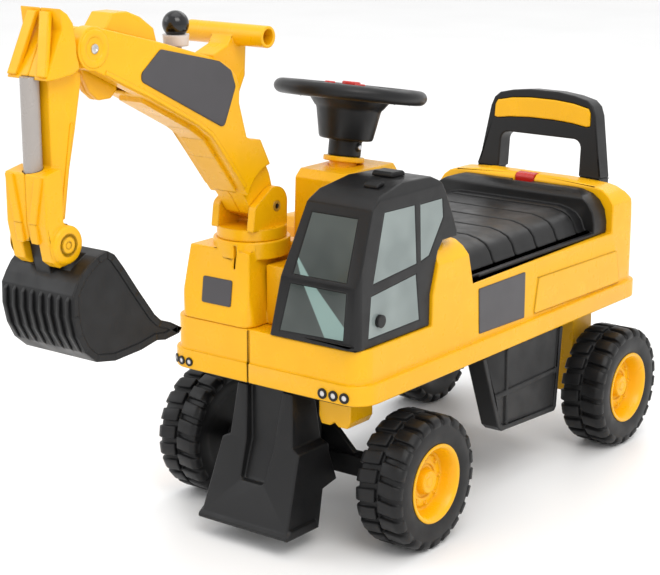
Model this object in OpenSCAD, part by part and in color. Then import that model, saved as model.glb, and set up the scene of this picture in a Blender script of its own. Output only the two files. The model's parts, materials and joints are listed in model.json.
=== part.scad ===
// Child's ride-on toy excavator, foot to floor, with a working digger.
// +X is the toy's left, +Y is its rear and +Z is up; z = 0 is the ground under the tyres.

/* [Body] */
// Distance between the front and rear axles
wheelbase = 372; // [366:1:376]
// Half width of the upper body
body_half = 114; // [112:0.5:115]
// Half width of the lower band
band_half = 119; // [118:0.5:120]
// Height of the band's lower edge above the ground
band_z = 152; // [151:0.5:153]
// Height of the front deck
deck_z = 204; // [203:0.5:205]
// Height of the seat rails
rail_z = 231; // [230.5:0.5:231]
// Thickness of the moulded walls
wall = 3; // [2.5:0.1:3]

/* [Wheels] */
// Tyre radius
tyre_r = 65; // [64:0.5:65]
// Tyre width
tyre_w = 51; // [49:0.5:51]
// Outer face of the tyres from the centre line
tyre_x = 149; // [148:0.5:150]
// Radius of both axles
axle_r = 4; // [3.5:0.1:4.5]

/* [Digger] */
// Sideways place of the digger, from the centre line
digger_x = -47; // [-48:0.5:-46]
// Half width of the boom and the arm
boom_half = 23.5; // [23:0.1:24]
// Half width of the boom's foot, between the turret's ears
foot_half = 17.5; // [17:0.1:17.6]
// Radius of the turret's disc
turret_r = 33.5; // [32:0.5:34]
// Half width of the bucket
bucket_half = 42; // [40:0.5:44]

/* [Steering] */
// Outer radius of the steering wheel
wheel_r = 74; // [70:1:76]
// Radius of the wheel's rim section
rim_r = 8; // [7:0.5:9]
// Backward lean of the column in degrees
column_lean = 9.5; // [9:0.1:10]

/* [Controls] */
// Bore radius of the T-handle's open tube
tube_bore_r = 7; // [6:0.5:7.5]
// Outer radius of the T-handle's tube
tube_r = 10; // [9.5:0.5:10.5]

/* [Hidden] */
$fn = 48;

// The frame's origin stands on the ground under the middle of the whole toy's box
origin_y = 124;
front_y = -wheelbase / 2;
rear_y = wheelbase / 2;

// Body outline, as distances along the toy from the point midway between the axles
nose_y = -262;
tail_y = 256;
corner_r = 20;
deck_end_y = -147;
seat_front_y = -70;
seat_rear_y = 196;
hump_z = 279;
crown_z = 284;
hump_front_y = 199;
pan_z = 149.5;

// Cab
cab_near_x = 111;
pane_t = 1.2;
pane_recess = 1.5;

// Digger pivots, as [y, z]
swivel_y = -219;
tower_top_z = 275;
collar_z = 283.7;
disc_z = 284;
disc_top_z = 295;
boom_pivot = [-213, 314];
arm_pivot = [-445, 485];
bucket_pivot = [-486, 327];
lever_pivot = [-320, 440];
ear_clear_r = 41;
boom_end_r = 18.5;
shaft_half = 13;
hub_gap_half = 9.5;
crank_r = 11;
crank_dir = [0.34, 0.94];
boom_pin_r = 5;
arm_pin_r = 4;
bucket_pin_r = 3.5;
lever_pin_r = 2.5;
link_pin_r = 2.5;
clear = 0.05;

// Steering, with the wheel's centre as [y, z]
wheel_c = [-125, 414];
rod_r = 5;
hub_z = 65;

// Seat hinge, as [y, z]
hinge = [-60, 249];
hinge_r = 3;

// ---------------------------------------------------------------- helpers

// Moves the toy from its own mid-axle frame to the part's frame
module framed() {
    translate([0, origin_y, 0]) children();
}

// Extrudes a [y, z] outline from x0 to x1
module along_x(x0, x1) {
    translate([x0, 0, 0]) rotate([90, 0, 90]) linear_extrude(x1 - x0) children();
}

// Extrudes an [x, z] outline from y0 to y1
module along_y(y0, y1) {
    translate([0, y1, 0]) rotate([90, 0, 0]) linear_extrude(y1 - y0) children();
}

// Round bar along X at a [y, z] place
module x_bar(place, r, x0, x1) {
    translate([x0, place[0], place[1]]) rotate([0, 90, 0]) cylinder(r = r, h = x1 - x0);
}

// Box from one corner to the other
module span(low, high) {
    translate(low) cube(high - low);
}

// Both a thing and its mirror image across the centre line
module both_sides() {
    children();
    mirror([1, 0, 0]) children();
}

// Rounds the convex corners of an outline
module eased(r) {
    offset(r = r, $fn = 24) offset(delta = -r) children();
}

// Plan outline of the body between two ends, with rounded corners
module plan(half, y0, y1, r) {
    translate([0, (y0 + y1) / 2]) eased(r) square([2 * half, y1 - y0], center = true);
}

// Places a thing made along +Z on the leaning steering column
module on_column() {
    translate([0, wheel_c[0], wheel_c[1]]) rotate([-column_lean, 0, 0]) children();
}

// ---------------------------------------------------------------- body

module shell_profile() {
    polygon([
        [nose_y - 4, band_z], [nose_y - 4, deck_z], [deck_end_y, deck_z], [-146, 234],
        [-134, 273], [-126, 282], [-120, 283], [-100, 283], [-89, 276], [-77, rail_z],
        [198.5, rail_z], [hump_front_y, hump_z], [hump_front_y + 5, crown_z],
        [220, crown_z], [230, hump_z], [240, hump_z - 13], [247, 245], [255, 216],
        [tail_y + 4, 205], [tail_y + 4, band_z]
    ]);
}

// Front view that rounds the hump's long edges
module shell_front() {
    polygon([
        [-120, band_z - 5], [-120, 250], [-114, 262], [-108, 271], [-100, 277], [-90, 280],
        [-50, crown_z], [50, crown_z], [90, 280], [100, 277], [108, 271], [114, 262], [120, 250],
        [120, band_z - 5]
    ]);
}

module shell_solid(inset) {
    intersection() {
        linear_extrude(300) plan(body_half - inset, nose_y + inset, tail_y - inset, corner_r);
        along_x(-body_half - 1, body_half + 1) offset(delta = -inset) shell_profile();
        along_y(nose_y - 5, tail_y + 5) offset(delta = -inset) shell_front();
    }
}

module side_panel() {
    along_x(body_half - 1, body_half + 1.8)
        eased(3) polygon([[44, 213], [208, 210], [217, 173], [36, 176]]);
}

module body_shell() {
    color([0.98, 0.74, 0.1]) framed() difference() {
        union() {
            shell_solid(0);
            translate([0, 0, band_z]) linear_extrude(19.5)
                plan(band_half, nose_y - 2, tail_y + 3, corner_r + 3);
            both_sides() side_panel();
        }
        shell_solid(wall);
        translate([0, 0, band_z - 1]) linear_extrude(wall + 6)
            plan(body_half - wall, nose_y + wall, tail_y - wall, corner_r);
        span([-104, seat_front_y, band_z + 20], [104, seat_rear_y, rail_z + 70]);
        on_column() translate([0, 0, -260]) cylinder(r = 16, h = 80);
        both_sides() span([55, 227.7, hump_z - 50], [79.5, 250.3, hump_z + 10]);
        span([-12.5, 198, 262], [12.5, 213, crown_z + 3]);
        span([-17.8, nose_y - 8, band_z - 1], [-16.2, nose_y + 1, deck_z + 1]);
    }
    color([0.98, 0.74, 0.1]) framed() both_sides() difference() {
        union() {
            span([62, -72, rail_z - 12], [70, -54, rail_z - 1]);
            span([62, -66, rail_z - 4], [70, -54, hinge[1]]);
            x_bar(hinge, 6, 62, 70);
        }
        x_bar(hinge, hinge_r, 60, 72);
    }
}

module tower_profile() {
    polygon([[-263, deck_z + 0.3], [-254, tower_top_z], [-172, tower_top_z], [-172, deck_z + 0.3]]);
}

// Front view of the tower, narrowing upwards
module tower_front() {
    polygon([[-103, deck_z + 0.3], [-94, 280], [-22, 280], [-15, deck_z + 0.3]]);
}

module tower_solid(inset) {
    intersection() {
        along_y(-270, -165) offset(delta = -inset) tower_front();
        translate([0, 0, deck_z]) linear_extrude(80) translate([-59, -217])
            eased(12) square([88 - 2 * inset, 92 - 2 * inset], center = true);
        along_x(-110, -10) offset(delta = -inset) tower_profile();
    }
}

module tower_cover() {
    color([0.98, 0.74, 0.1]) framed() difference() {
        union() {
            tower_solid(0);
            translate([digger_x, swivel_y, tower_top_z - 8])
                cylinder(r = 37, h = collar_z - tower_top_z + 8);
            span([-16, -236, deck_z + 0.3], [10.4, -176, 262]);
        }
        difference() {
            tower_solid(wall);
            translate([digger_x, swivel_y, tower_top_z - 8]) cylinder(r = 37, h = 20);
        }
        span([-18, -233, deck_z], [7.4, -179, 259]);
        translate([digger_x, swivel_y, tower_top_z - 20]) cylinder(r = 23, h = 17);
        translate([digger_x, swivel_y, deck_z]) cylinder(r = 14 + clear, h = 90);
        span([-40, -270, 258], [-37.6, -250, 280]);
        along_x(-22.4, 34.4) offset(delta = 0.4) console_outline();
    }
}

module console_outline() {
    polygon([[-190, deck_z + 0.3], [-184, 338], [-176, 345], [-100, 345], [-94, 338],
             [-94, 283.3], [-127, 283.3], [-135, 274], [-147.4, 235], [-148, deck_z + 0.3]]);
}

module console_block(inset) {
    along_x(-22 + inset, 34 - inset) offset(delta = -inset) console_outline();
}

module console() {
    color([0.98, 0.74, 0.1]) framed() difference() {
        console_block(0);
        console_block(wall);
        on_column() translate([0, 0, -110]) cylinder(r = 14, h = 90);
        on_column() translate([0, 0, -240]) cylinder(r = rod_r + 1.2, h = 200);
        span([-19, -187, deck_z], [31, -150, deck_z + 5]);
    }
}

module column_bush() {
    color([0.98, 0.74, 0.1]) framed() on_column() difference() {
        union() {
            translate([0, 0, -76]) cylinder(r = 13.9, h = 14);
            translate([0, 0, -67]) cylinder(r = 20, h = 5);
        }
        translate([0, 0, -90]) cylinder(r = rod_r + clear, h = 40);
    }
}

module under_pan() {
    color([0.13, 0.13, 0.13]) framed() difference() {
        translate([0, 0, pan_z]) linear_extrude(11)
            plan(body_half - wall - 0.3, nose_y + wall + 0.3, tail_y - wall - 0.3, corner_r);
        translate([0, 0, pan_z + wall]) linear_extrude(12)
            plan(body_half - 2 * wall, nose_y + 2 * wall, tail_y - 2 * wall, corner_r);
        on_column() translate([0, 0, -290]) cylinder(r = rod_r + 1.2, h = 60);
    }
}

// Side view of the step, from its top edge down, as [y, z]
module step_outline(top) {
    polygon([[-58 - (top - pan_z) * 0.39, top], [98 + (top - pan_z) * 0.1, top], [89, 62], [85, 58],
             [-20, 64], [-27, 70]]);
}

// Side step: a skirt box with a raised frame, two ribs and an open inner face
module step_box() {
    difference() {
        union() {
            along_x(94, 112) step_outline(pan_z - 0.3);
            along_x(111.5, 114.5) difference() {
                step_outline(pan_z - 0.3);
                offset(delta = -6) step_outline(pan_z + 8);
            }
            intersection() {
                along_x(111.5, 114) step_outline(pan_z - 0.3);
                union() {
                    span([110, -60, 100], [115, 100, 106]);
                    span([110, -12, 55], [115, -7.5, pan_z]);
                }
            }
        }
        along_x(93, 109) offset(delta = -wall) step_outline(pan_z + 10);
    }
}

module step_left() {
    color([0.13, 0.13, 0.13]) framed() step_box();
}

module step_right() {
    color([0.13, 0.13, 0.13]) framed() mirror([1, 0, 0]) step_box();
}

// Front skid: flares towards the ground and leans forward, with a recess down its middle
module front_blade() {
    color([0.13, 0.13, 0.13]) framed() difference() {
        union() {
            intersection() {
                along_y(-300, -200) polygon([[-33, pan_z - 0.3], [33, pan_z - 0.3], [38, 98], [47, 94],
                                             [53, 18], [-53, 18], [-47, 94], [-38, 98]]);
                along_x(-60, 60) polygon([[-259, pan_z - 0.3], [-266, 96], [-292, 24], [-292, 18],
                                          [-244, 18], [-234, 52], [-212, 56], [-220, 82],
                                          [-226, pan_z - 0.3]]);
            }
            along_x(-55, 55) polygon([[-295, 18], [-295, 22], [-288, 27], [-250, 27], [-246, 18]]);
        }
        intersection() {
            along_y(-310, -240) eased(4) polygon([[-23, 170], [23, 170], [13, 60], [-15, 60]]);
            along_x(-60, 60) polygon([[-251, 170], [-252, pan_z], [-257, 96], [-274, 56], [-330, 56],
                                      [-330, 170]]);
        }
        along_y(-248, -190) polygon([[-29, 15], [29, 15], [29, 128], [-29, 128]]);
        both_sides() for (step = [0 : 3]) translate([0, 0, -step * 14])
            along_x(49 + step, 60) polygon([[-268, 92], [-240, 98], [-240, 92], [-268, 86]]);
    }
}

module arch_blocks() {
    color([0.98, 0.74, 0.1]) framed() {
        difference() {
            along_y(-240, -205) polygon([[50, pan_z - 0.3], [50, 127], [53, 120], [63, 120],
                                         [68, 124], [73, 120], [83, 120], [87, 127], [87, pan_z - 0.3]]);
            span([53, -237, 128], [84, -208, pan_z + 5]);
        }
        difference() {
            union() {
                both_sides() span([70, rear_y - 20, hub_z - 12], [88, rear_y + 20, pan_z - 0.3]);
                span([-71, rear_y - 6, 110], [71, rear_y + 6, pan_z - 0.3]);
            }
            x_bar([rear_y, hub_z], axle_r, -90, 90);
        }
    }
}

// ---------------------------------------------------------------- cab

module cab_profile() {
    polygon([
        [-264, deck_z + 0.3], [-261, 262], [-240, 331], [-226, 341], [-185, 348], [-140, 346],
        [-130, 341], [-122, 328], [-111, 307], [-103, 289], [-103, 283.3], [-127, 283.3],
        [-135, 274], [-147.4, 235], [-148, deck_z + 0.3]
    ]);
}

module cab_front() {
    polygon([[11, deck_z + 0.3], [22, 262], [37, 333], [44, 350], [103, 350], [cab_near_x, 338],
             [cab_near_x, deck_z + 0.3]]);
}

module cab_solid(inset) {
    intersection() {
        along_x(5, 115) offset(delta = -inset) cab_profile();
        along_y(-270, -100) offset(delta = -inset) cab_front();
        linear_extrude(400) translate([-30, -164]) eased(9)
            square([2 * (cab_near_x + 30 - inset), 2 * (100 - inset)], center = true);
    }
}

module upper_pane() {
    polygon([[45, 322], [97, 322], [97, 266], [36, 266]]);
}

module lower_pane() {
    polygon([[34, 257], [98, 257], [96, 213], [23, 211]]);
}

module front_side_pane() {
    polygon([[-221, 326], [-174, 325], [-170, 269], [-238, 263]]);
}

module rear_side_pane() {
    polygon([[-165, 324], [-129, 324], [-127, 306], [-150, 273], [-163, 270]]);
}

module door_pane() {
    polygon([[-241, 252], [-171, 259], [-165, 214], [-245, 213]]);
}

// The skin of the cab's side outline between two depths, cut to a front-view outline
module front_skin(depth0, depth1) {
    intersection() {
        along_x(10, 115) difference() {
            offset(delta = -depth0) cab_profile();
            offset(delta = -depth1) cab_profile();
        }
        along_y(-270, -205) children();
    }
}

module cab_shell() {
    color([0.14, 0.14, 0.14]) framed() difference() {
        cab_solid(0);
        cab_solid(wall);
        span([18, -261, deck_z - 1], [108, -150, deck_z + 5]);
        front_skin(-1, pane_recess) upper_pane();
        front_skin(-1, pane_recess) lower_pane();
        along_x(cab_near_x - pane_recess, 120) {
            front_side_pane();
            rear_side_pane();
            door_pane();
        }
        x_bar([-229, 227], 3.05, 100, 112);
        along_x(-22.4, 34.4) offset(delta = 0.4) console_outline();
    }
}

module windscreen_upper() {
    color([0.3, 0.36, 0.35]) framed() front_skin(pane_recess - pane_t, pane_recess)
        offset(delta = -0.2) upper_pane();
}

module windscreen_lower() {
    color([0.3, 0.36, 0.35]) framed() front_skin(pane_recess - pane_t, pane_recess)
        offset(delta = -0.2) lower_pane();
}

module side_windows() {
    color([0.55, 0.6, 0.6]) framed()
        along_x(cab_near_x - pane_recess, cab_near_x - pane_recess + pane_t) {
            offset(delta = -0.2) front_side_pane();
            offset(delta = -0.2) rear_side_pane();
        }
}

module door_window() {
    color([0.5, 0.55, 0.55]) framed() difference() {
        along_x(cab_near_x - pane_recess, cab_near_x - pane_recess + pane_t)
            offset(delta = -0.2) door_pane();
        x_bar([-229, 227], 3.05, 100, 112);
    }
}

module door_knob() {
    color([0.85, 0.85, 0.85]) framed() {
        x_bar([-229, 227], 3, cab_near_x - wall, cab_near_x);
        x_bar([-229, 227], 6, cab_near_x, cab_near_x + 3.5);
    }
}

module roof_hatch() {
    color([0.1, 0.1, 0.1]) framed() along_x(64, 86)
        polygon([[-177, 348], [-177, 350.5], [-174, 352.6], [-158, 352.2], [-155, 350.4], [-155, 346.8]]);
}

module roof_lamp() {
    color([0.6, 0.6, 0.6]) framed() along_x(79, 95)
        polygon([[-211, 344], [-210.5, 346.5], [-207, 348.6], [-201, 349.4], [-199, 348], [-199, 346]]);
}

near_lamps = [73, 85.5, 98];
far_lamps = [-90, -100, -109];
lamp_z = 159.5;

// Stands a thing made along +Z on the belt's front, or on its rounded corner
module on_belt(x) {
    turn = abs(x) > 96 ? asin((abs(x) - 96) / 23) : 0;
    translate([x, nose_y + 21 - 23 * cos(turn), lamp_z])
        rotate([90, 0, sign(x) * turn]) children();
}

module bezel(r) {
    difference() {
        cylinder(r = r, h = 1.2);
        translate([0, 0, -1]) cylinder(r = r * 0.55, h = 4);
    }
}

module lamp_bezels() {
    color([0.1, 0.1, 0.1]) framed() {
        for (x = near_lamps) on_belt(x) bezel(5);
        for (x = far_lamps) on_belt(x) bezel(4.3);
    }
}

module lamp_lenses() {
    color([0.92, 0.92, 0.9]) framed() {
        for (x = near_lamps) on_belt(x) cylinder(r = 2.7, h = 0.9);
        for (x = far_lamps) on_belt(x) cylinder(r = 2.3, h = 0.9);
    }
}

module front_decal() {
    color([0.35, 0.35, 0.37]) framed() intersection() {
        along_x(-80, -20) difference() {
            translate([-0.8, 0]) tower_profile();
            tower_profile();
        }
        along_y(-275, -240) eased(2) polygon([[-75, 222], [-75, 247], [-39, 247], [-39, 222]]);
    }
}

module side_decals() {
    color([0.35, 0.35, 0.37]) framed() both_sides()
        along_x(body_half, body_half + 0.8) eased(1.5)
            polygon([[-66, 178], [-68, 224], [18, 224], [18, 176]]);
}

// ---------------------------------------------------------------- seat and rear

module storage_bin() {
    color([0.16, 0.16, 0.16]) framed() difference() {
        span([-103.5, seat_front_y + 0.5, pan_z + wall + 0.2], [103.5, seat_rear_y - 0.5, rail_z - 3]);
        span([-101, seat_front_y + 3, pan_z + wall + 3], [101, seat_rear_y - 3, rail_z + 5]);
        span([-104, seat_front_y, rail_z - 16], [-55, -45, rail_z]);
        span([55, seat_front_y, rail_z - 16], [104, -45, rail_z]);
    }
}

// Cross-section of the seat, as [x, z]
module seat_section() {
    polygon([[-107, rail_z + 0.4], [-107, 235], [-97, 235.5], [-94, 240], [-91, 248], [-85, 255],
             [-76, 259], [-64, 261.5], [64, 261.5], [76, 259], [85, 255], [91, 248], [94, 240],
             [97, 235.5], [107, 235], [107, rail_z + 0.4]]);
}

// Side view of the seat, with the upstand at its rear
module seat_side() {
    polygon([[-70, rail_z + 0.4], [-70, 250], [-64, 258], [-50, 270], [150, 270], [168, 271],
             [178, 275], [184, 277.5], [198, 277.5], [198, rail_z + 0.4]]);
}

module seat_back_section() {
    polygon([[-107, rail_z + 0.4], [-107, 244], [-104.5, 257], [-98, 267], [-89, 273.5], [-76, 277],
             [-40, 279], [40, 279], [76, 277], [89, 273.5], [98, 267], [104.5, 257], [107, 244],
             [107, rail_z + 0.4]]);
}

module seat_body(inset) {
    intersection() {
        union() {
            along_y(-72, 178) offset(delta = -inset) seat_section();
            along_y(170 + inset, 198 - inset) offset(delta = -inset) seat_back_section();
        }
        along_x(-110, 110) offset(delta = -inset) seat_side();
    }
}

groove_y = [-12, 29.5, 71, 112, 153];

module seat_groove() {
    along_y(-1.2, 1.2) difference() {
        seat_section();
        offset(delta = -1.6) seat_section();
        translate([-120, 0]) square([240, 236]);
    }
}

module seat_lid() {
    color([0.13, 0.13, 0.13]) framed() {
        difference() {
            seat_body(0);
            seat_body(wall);
            span([-101, -66, rail_z - 1], [101, 194, rail_z + 5]);
            for (y = groove_y) translate([0, y, 0]) seat_groove();
            span([-12.8, 191, 264], [12.8, 200, 290]);
            span([59, -75, rail_z], [73, -50, 256]);
            span([-73, -75, rail_z], [-59, -50, 256]);
            both_sides() span([103.5, -75, rail_z], [110, -56, 240]);
        }
        both_sides() difference() {
            span([50, -67.5, 240], [58.5, -52, 259]);
            x_bar(hinge, hinge_r + clear, 40, 62);
        }
    }
}

module seat_hinge_pin() {
    color([0.7, 0.7, 0.72]) framed() both_sides() x_bar(hinge, hinge_r, 49, 71);
}

module latch_button() {
    color([0.85, 0.12, 0.08]) framed() along_x(-12, 12)
        polygon([[199.5, 267], [199.5, 280], [201, 283.5], [210, 284.5], [212, 283], [212, 267]]);
}

module handle_outline() {
    polygon([[-80, hump_z - 40], [-79, hump_z + 5], [-68, 350], [-64, 360], [-57, 366], [-40, 370],
             [-18, 372.5], [18, 372.5], [40, 370], [57, 366], [64, 360], [68, 350],
             [79, hump_z + 5], [80, hump_z - 40]]);
}

module handle_opening() {
    eased(10) polygon([[-53, hump_z - 60], [-52, 322], [52, 322], [53, hump_z - 60]]);
}

module grip_outline() {
    polygon([[-62, 338], [-61.5, 352], [-59, 357], [-40, 361], [-16, 363], [16, 363], [40, 361],
             [59, 357], [61.5, 352], [62, 338], [58, 337], [40, 339.5], [16, 341], [-16, 341],
             [-40, 339.5], [-58, 337]]);
}

// Leans things backwards about the handle's foot
module handle_lean() {
    translate([0, 239, hump_z]) rotate([-5, 0, 0]) translate([0, -239, -hump_z]) children();
}

module push_handle() {
    color([0.13, 0.13, 0.13]) framed() difference() {
        union() {
            handle_lean() intersection() {
                along_y(228, 250) difference() {
                    handle_outline();
                    handle_opening();
                }
                span([-100, 200, hump_z + 2.5], [100, 300, 380]);
            }
            both_sides() span([55.3, 228, hump_z - 46], [79, 250, hump_z + 3.5]);
        }
        handle_lean() along_y(227, 231) offset(delta = 0.3) grip_outline();
    }
}

module handle_grip() {
    color([0.98, 0.74, 0.1]) framed() handle_lean() along_y(226.8, 231) grip_outline();
}

module axle_bar(half) {
    x_bar([0, 0], axle_r, -half, half);
}

module rear_axle() {
    color([0.7, 0.7, 0.72]) framed() {
        translate([0, rear_y, hub_z]) axle_bar(136);
        translate([0, rear_y, hub_z]) both_sides() difference() {
            x_bar([0, 0], 8, 130.5, 133.5);
            x_bar([0, 0], axle_r, 130, 134);
        }
    }
}

// ---------------------------------------------------------------- steering

module ring(major, minor) {
    rotate_extrude() translate([major, 0]) circle(r = minor, $fn = 32);
}

module steering_wheel() {
    color([0.12, 0.12, 0.12]) framed() on_column() {
        difference() {
            union() {
                ring(wheel_r - rim_r, rim_r);
                for (turn = [0, 90, 180, 270]) rotate(turn)
                    span([20, -11, -5], [wheel_r - rim_r - 1, 11, 4]);
                translate([0, 0, -8]) cylinder(r = 36, h = 12);
                translate([0, 0, -15]) cylinder(r1 = 32, r2 = 40, h = 8);
                translate([0, 0, -46]) cylinder(r1 = 26, r2 = 31.5, h = 31.5);
                translate([0, 0, -61.8]) cylinder(r = 16, h = 20);
            }
            translate([0, 0, -62]) cylinder(r = rod_r, h = 52);
            translate([0, 0, -1]) cylinder(r = 30.2, h = 6);
            translate([0, 0, -52]) rotate([0, 90, 0]) cylinder(r = 2, h = 20);
        }
    }
}

module wheel_pad() {
    color([0.2, 0.2, 0.2]) framed() on_column() difference() {
        union() {
            translate([0, 0, -1]) cylinder(r = 30, h = 6);
            translate([0, 0, 5]) cylinder(r1 = 30, r2 = 27, h = 2);
        }
        translate([0, 0, 1]) cylinder(r = 9.3, h = 10);
        for (side = [-1, 1]) translate([side * 18, -10, 1]) cylinder(r = 5.3, h = 10);
    }
}

module horn_button() {
    color([0.8, 0.2, 0.15]) framed() on_column() {
        translate([0, 0, 4]) cylinder(r = 9, h = 6);
    }
}

module sound_buttons() {
    color([0.85, 0.4, 0.4]) framed() on_column()
        for (side = [-1, 1]) translate([side * 18, -10, 3.2]) cylinder(r = 5.25, h = 5.3);
}

module steering_rod() {
    color([0.7, 0.7, 0.72]) framed() on_column() translate([0, 0, -342.9])
        cylinder(r = rod_r, h = 332.9);
}

module front_fork() {
    color([0.13, 0.13, 0.13]) framed() difference() {
        union() {
            span([-88, front_y - 9, hub_z - 10], [88, front_y + 9, hub_z + 10]);
            on_column() translate([0, 0, -354]) cylinder(r = 15, h = 64);
            both_sides() along_y(front_y - 3, front_y + 3) polygon([[14, 114], [14, 70], [60, 70]]);
        }
        x_bar([front_y, hub_z], axle_r + clear, -90, 90);
        on_column() translate([0, 0, -343]) cylinder(r = rod_r, h = 90);
    }
}

module front_axle() {
    color([0.7, 0.7, 0.72]) framed() translate([0, front_y, hub_z]) {
        axle_bar(136);
        both_sides() difference() {
            x_bar([0, 0], 8, 130.5, 133.5);
            x_bar([0, 0], axle_r, 130, 134);
        }
    }
}

// ---------------------------------------------------------------- wheels, outer face towards +X

hub_face_r = 38.5;
hub_seat_r = 36;

// Tyre section with the inner disc and sleeve, as [radius, distance from the inner face]
module tyre_section() {
    polygon([
        [axle_r + clear, 7.8], [axle_r + clear, -9.5], [9, -9.5], [9, 3], [38, 3], [44, 1], [56, 0],
        [tyre_r - 3, 3], [tyre_r, 7], [tyre_r, 21.5],
        [tyre_r - 3, 24], [tyre_r - 3, 27], [tyre_r, 29.5], [tyre_r, tyre_w - 7],
        [tyre_r - 3, tyre_w - 3], [56, tyre_w], [46, tyre_w - 1], [hub_seat_r + 4, tyre_w - 3],
        [hub_seat_r, tyre_w - 3], [hub_seat_r, 7.8]
    ]);
}

// Turns a thing made along +Z so that +Z points along +X, from the wheel's inner face
module wheel_at(y, side) {
    translate([side * (tyre_x - tyre_w), y, hub_z]) rotate([0, side * 90, 0]) children();
}

// Hollow inside the tyre, closed by the hub
module tyre_cavity() {
    polygon([[hub_seat_r - 1, 9], [54, 4.5], [58, 5.5], [60, 9], [60, tyre_w - 9], [58, tyre_w - 5.5],
             [54, tyre_w - 4.5], [hub_seat_r - 1, tyre_w - 8]]);
}

module tyre(y, side) {
    color([0.12, 0.12, 0.12]) framed() wheel_at(y, side) rotate_extrude() difference() {
        tyre_section();
        tyre_cavity();
    }
}

// Deep dish with a rim flange, a ring of bosses and a centre cap over the axle's end
module hub(y, side) {
    color([0.98, 0.74, 0.1]) framed() wheel_at(y, side) {
        difference() {
            rotate_extrude() polygon([
                [0, 8], [14, 8], [14, 31], [33, 31], [33, 8], [hub_seat_r, 8],
                [hub_seat_r, tyre_w - 3], [hub_face_r, tyre_w - 3],
                [hub_face_r, tyre_w - 0.5], [34, tyre_w - 0.5], [31, tyre_w - 5], [29, 34],
                [15, 34], [14, 40], [12, 42.5], [0, 42.5]
            ]);
            translate([0, 0, 30]) cylinder(r = 9, h = 9);
            translate([0, 0, 7]) cylinder(r = axle_r + clear, h = 30);
        }
        for (turn = [0 : 60 : 300]) rotate(turn) translate([22, 0, 33.5]) cylinder(r = 2.6, h = 3);
    }
}

module tyre_fl() { tyre(front_y, 1); }
module tyre_fr() { tyre(front_y, -1); }
module tyre_rl() { tyre(rear_y, 1); }
module tyre_rr() { tyre(rear_y, -1); }
module hub_fl() { hub(front_y, 1); }
module hub_fr() { hub(front_y, -1); }
module hub_rl() { hub(rear_y, 1); }
module hub_rr() { hub(rear_y, -1); }

// ---------------------------------------------------------------- turret and boom

module ear_outline() {
    hull() {
        translate([-214, 316]) circle(r = 17, $fn = 32);
        translate([-236, 312]) circle(r = 9, $fn = 32);
        translate([-247.5, disc_top_z - 1]) square([49.5, 2]);
    }
}

module turret() {
    color([0.98, 0.74, 0.1]) framed() difference() {
        union() {
            translate([digger_x, swivel_y, disc_z]) cylinder(r = turret_r, h = disc_top_z - disc_z);
            translate([digger_x, swivel_y, tower_top_z - 3 + 0.3]) cylinder(r = 14, h = 14);
            for (side = [-1, 1]) translate([digger_x, 0, 0])
                along_x(side > 0 ? foot_half + 0.4 : -26, side > 0 ? 26 : -foot_half - 0.4)
                    ear_outline();
        }
        x_bar(boom_pivot, boom_pin_r, digger_x - 30, digger_x + 30);
    }
}

module turret_retainer() {
    color([0.2, 0.2, 0.2]) framed() translate([digger_x, swivel_y, 0]) {
        translate([0, 0, tower_top_z - 3 - 6]) cylinder(r = 22, h = 5.7);
        translate([0, 0, tower_top_z - 3 - 9]) cylinder(r = 4, h = 3);
    }
}

module boom_pin() {
    color([0.75, 0.75, 0.75]) framed() difference() {
        x_bar(boom_pivot, boom_pin_r, digger_x - 26.5, digger_x + 26.5);
        x_bar(boom_pivot, 2.5, digger_x - 27, digger_x + 27);
    }
}

// Side view of the boom from the turret's ears to the arm pivot
module boom_outline() {
    polygon([
        [-445, 503.5], [-369, 484], [-301, 464], [-279, 455], [-266, 444], [-261, 431],
        [-262, 418], [-252, 385], [-246, 382], [-232, 380], [-213, 345], [-206, 322],
        [-213, 296.5], [-237, 309], [-248, 325], [-285, 372], [-300, 391], [-319, 404],
        [-380, 435], [-445, 466.5]
    ]);
    translate(arm_pivot) circle(r = boom_end_r, $fn = 48);
}

module boom_pocket() {
    difference() {
        offset(delta = -wall) boom_outline();
        translate(boom_pivot) circle(r = ear_clear_r + 3, $fn = 48);
        translate([-260, 462]) circle(r = 12, $fn = 32);
    }
}

// One half shell, on the digger's +X side of its own middle plane
module boom_half_shell() {
    difference() {
        along_x(0.05, boom_half) boom_outline();
        along_x(-1, boom_half - wall) boom_pocket();
        translate([foot_half, 0, 0]) x_bar(boom_pivot, ear_clear_r, 0, 20);
        along_x(-1, foot_half - wall) intersection() {
            offset(delta = -wall) boom_outline();
            translate(boom_pivot) circle(r = ear_clear_r + 4, $fn = 48);
        }
        along_x(-1, hub_gap_half) {
            translate(arm_pivot) circle(r = boom_end_r + 1, $fn = 48);
            polygon([[-470, 485], [-388, 485], [-388, 425], [-470, 425]]);
        }
        x_bar(boom_pivot, boom_pin_r + clear, -1, 30);
        x_bar(arm_pivot, arm_pin_r, -1, 21);
        along_x(-1, 13.2) polygon([[-350, 500], [-292, 500], [-292, 450], [-350, 450]]);
    }
    difference() {
        x_bar(boom_pivot, 12, 0.05, foot_half - 3);
        x_bar(boom_pivot, boom_pin_r + clear, -1, 30);
    }
    difference() {
        x_bar(arm_pivot, 8, hub_gap_half, boom_half - wall + 0.5);
        x_bar(arm_pivot, arm_pin_r, -1, 21);
    }
    difference() {
        x_bar(lever_pivot, 6, 6.8, boom_half - wall + 0.5);
        x_bar(lever_pivot, lever_pin_r, 0, 13);
    }
}

module boom_left() {
    color([0.98, 0.74, 0.1]) framed() translate([digger_x, 0, 0]) boom_half_shell();
}

module boom_right() {
    color([0.98, 0.74, 0.1]) framed() translate([digger_x, 0, 0]) mirror([1, 0, 0]) boom_half_shell();
}

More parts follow.
